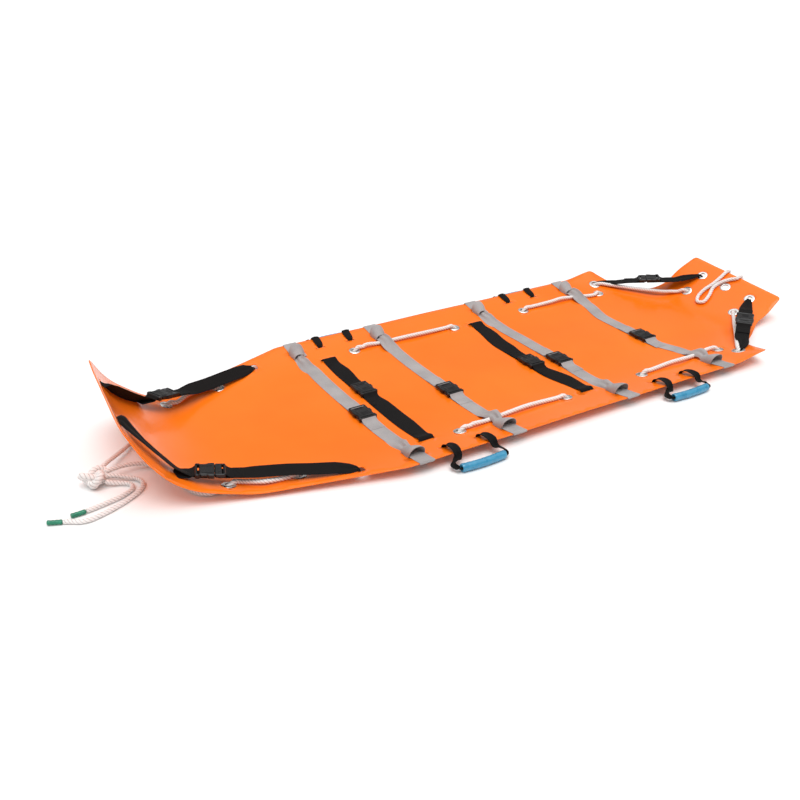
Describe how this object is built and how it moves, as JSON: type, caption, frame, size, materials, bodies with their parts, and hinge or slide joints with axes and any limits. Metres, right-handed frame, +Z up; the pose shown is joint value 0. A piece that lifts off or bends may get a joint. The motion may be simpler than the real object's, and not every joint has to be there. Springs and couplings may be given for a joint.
{
  "type": "rescue stretcher",
  "caption": "Roll-up drag stretcher laid open: flexible plastic sheet with webbing straps, side-release buckles, carry handles and a rope laced along both sides.",
  "frame": {"origin": "on the floor under the middle of the stretcher's length and width, at the flat bed's underside", "axes": "+X along the length towards the head flap, +Y to the casualty's left, +Z up from the floor"},
  "size_m": [2.7245, 1.012, 0.2521],
  "materials": {
    "orange_sheet": "smooth semi-gloss orange polymer sheet with faint scuffs",
    "grey_webbing": "light grey woven webbing",
    "black_webbing": "black woven webbing with stitched ends",
    "black_plastic": "fine-textured moulded plastic",
    "blue_grip": "soft light blue hose",
    "white_rope": "braided white rope",
    "green_sleeve": "green shrink sleeve",
    "grommet_metal": "rolled plated brass ring"
  },
  "bodies": {
    "sheet": {"sheet_body": "orange_sheet", "chest_strap_left": "grey_webbing", "chest_strap_right": "grey_webbing", "chest_buckle_housing": "black_plastic", "waist_strap_left": "grey_webbing", "waist_strap_right": "grey_webbing", "waist_buckle_housing": "black_plastic", "thigh_strap_left": "grey_webbing", "thigh_strap_right": "grey_webbing", "thigh_buckle_housing": "black_plastic", "shin_strap_left": "grey_webbing", "shin_strap_right": "grey_webbing", "shin_buckle_housing": "black_plastic", "knee_pad_strap_left": "black_webbing", "knee_pad_strap_right": "black_webbing", "knee_pad_buckle_housing": "black_plastic", "chest_pad_strap_left": "black_webbing", "chest_pad_strap_right": "black_webbing", "chest_pad_buckle_housing": "black_plastic", "head_strap_left_wing": "black_webbing", "head_buckle_left_housing": "black_plastic", "head_strap_right_wing": "black_webbing", "head_buckle_right_housing": "black_plastic", "foot_strap_left_tongue": "black_webbing", "foot_strap_left_bed": "black_webbing", "foot_buckle_left_housing": "black_plastic", "foot_strap_right_tongue": "black_webbing", "foot_strap_right_bed": "black_webbing", "foot_buckle_right_housing": "black_plastic", "lacing_left": "white_rope", "lacing_right": "white_rope", "foot_rope_left": "white_rope", "foot_rope_right": "white_rope", "rope_tail_left": "white_rope", "rope_tail_right": "white_rope", "rope_knot": "white_rope", "sleeve_left": "green_sleeve", "sleeve_right": "green_sleeve"},
    "flap": {"head_flap": "orange_sheet", "head_strap_left_flap": "black_webbing", "head_strap_right_flap": "black_webbing", "head_rope": "white_rope"},
    "chest_buckle_plug": {"chest_buckle_plug": "black_plastic"},
    "waist_buckle_plug": {"waist_buckle_plug": "black_plastic"},
    "thigh_buckle_plug": {"thigh_buckle_plug": "black_plastic"},
    "shin_buckle_plug": {"shin_buckle_plug": "black_plastic"},
    "knee_pad_buckle_plug": {"knee_pad_buckle_plug": "black_plastic"},
    "chest_pad_buckle_plug": {"chest_pad_buckle_plug": "black_plastic"},
    "head_buckle_left_plug": {"head_buckle_left_plug": "black_plastic"},
    "head_buckle_right_plug": {"head_buckle_right_plug": "black_plastic"},
    "foot_buckle_left_plug": {"foot_buckle_left_plug": "black_plastic"},
    "foot_buckle_right_plug": {"foot_buckle_right_plug": "black_plastic"},
    "foot_handle_left": {"foot_handle_left_grip": "blue_grip", "foot_handle_left_webbing": "black_webbing"},
    "foot_handle_right": {"foot_handle_right_grip": "blue_grip", "foot_handle_right_webbing": "black_webbing"},
    "head_handle_left": {"head_handle_left_grip": "blue_grip", "head_handle_left_webbing": "black_webbing"},
    "head_handle_right": {"head_handle_right_grip": "blue_grip", "head_handle_right_webbing": "black_webbing"}
  },
  "joints": [
    {"name": "flap_crease", "type": "hinge", "parent": "sheet", "child": "flap", "pos_m": [1.0573, 0, 0.008], "axis": [0, -1, 0], "range_deg": [-20, 20], "stiffness_Nm_per_rad": 15, "springref_deg": 1.15},
    {"name": "chest_buckle_release", "type": "slide", "parent": "sheet", "child": "chest_buckle_plug", "axis": [0, 1, 0], "range_m": [0, 0.034]},
    {"name": "waist_buckle_release", "type": "slide", "parent": "sheet", "child": "waist_buckle_plug", "axis": [0, 1, 0], "range_m": [0, 0.034]},
    {"name": "thigh_buckle_release", "type": "slide", "parent": "sheet", "child": "thigh_buckle_plug", "axis": [0, 1, 0], "range_m": [0, 0.034]},
    {"name": "shin_buckle_release", "type": "slide", "parent": "sheet", "child": "shin_buckle_plug", "axis": [0, 1, 0], "range_m": [0, 0.034]},
    {"name": "knee_pad_buckle_release", "type": "slide", "parent": "sheet", "child": "knee_pad_buckle_plug", "axis": [0, 1, 0], "range_m": [0, 0.034]},
    {"name": "chest_pad_buckle_release", "type": "slide", "parent": "sheet", "child": "chest_pad_buckle_plug", "axis": [0, 1, 0], "range_m": [0, 0.034]},
    {"name": "head_buckle_left_release", "type": "slide", "parent": "sheet", "child": "head_buckle_left_plug", "axis": [-0.7808, 0.6201, -0.0766], "range_m": [0, 0.034]},
    {"name": "head_buckle_right_release", "type": "slide", "parent": "sheet", "child": "head_buckle_right_plug", "axis": [-0.7808, -0.6201, -0.0766], "range_m": [0, 0.034]},
    {"name": "foot_buckle_left_release", "type": "slide", "parent": "sheet", "child": "foot_buckle_left_plug", "axis": [0.9095, 0.3666, -0.1958], "range_m": [0, 0.034]},
    {"name": "foot_buckle_right_release", "type": "slide", "parent": "sheet", "child": "foot_buckle_right_plug", "axis": [0.9377, -0.3322, -0.1017], "range_m": [0, 0.034]},
    {"name": "foot_handle_left_swing", "type": "hinge", "parent": "sheet", "child": "foot_handle_left", "pos_m": [-0.33778, 0.462, 0.0355], "axis": [1, 0, 0], "range_deg": [-45, 125]},
    {"name": "foot_handle_right_swing", "type": "hinge", "parent": "sheet", "child": "foot_handle_right", "pos_m": [-0.33778, -0.462, 0.0355], "axis": [-1, 0, 0], "range_deg": [-45, 125]},
    {"name": "head_handle_left_swing", "type": "hinge", "parent": "sheet", "child": "head_handle_left", "pos_m": [0.48522, 0.462, 0.0355], "axis": [1, 0, 0], "range_deg": [-45, 125]},
    {"name": "head_handle_right_swing", "type": "hinge", "parent": "sheet", "child": "head_handle_right", "pos_m": [0.48522, -0.462, 0.0355], "axis": [-1, 0, 0], "range_deg": [-45, 125]}
  ]
}
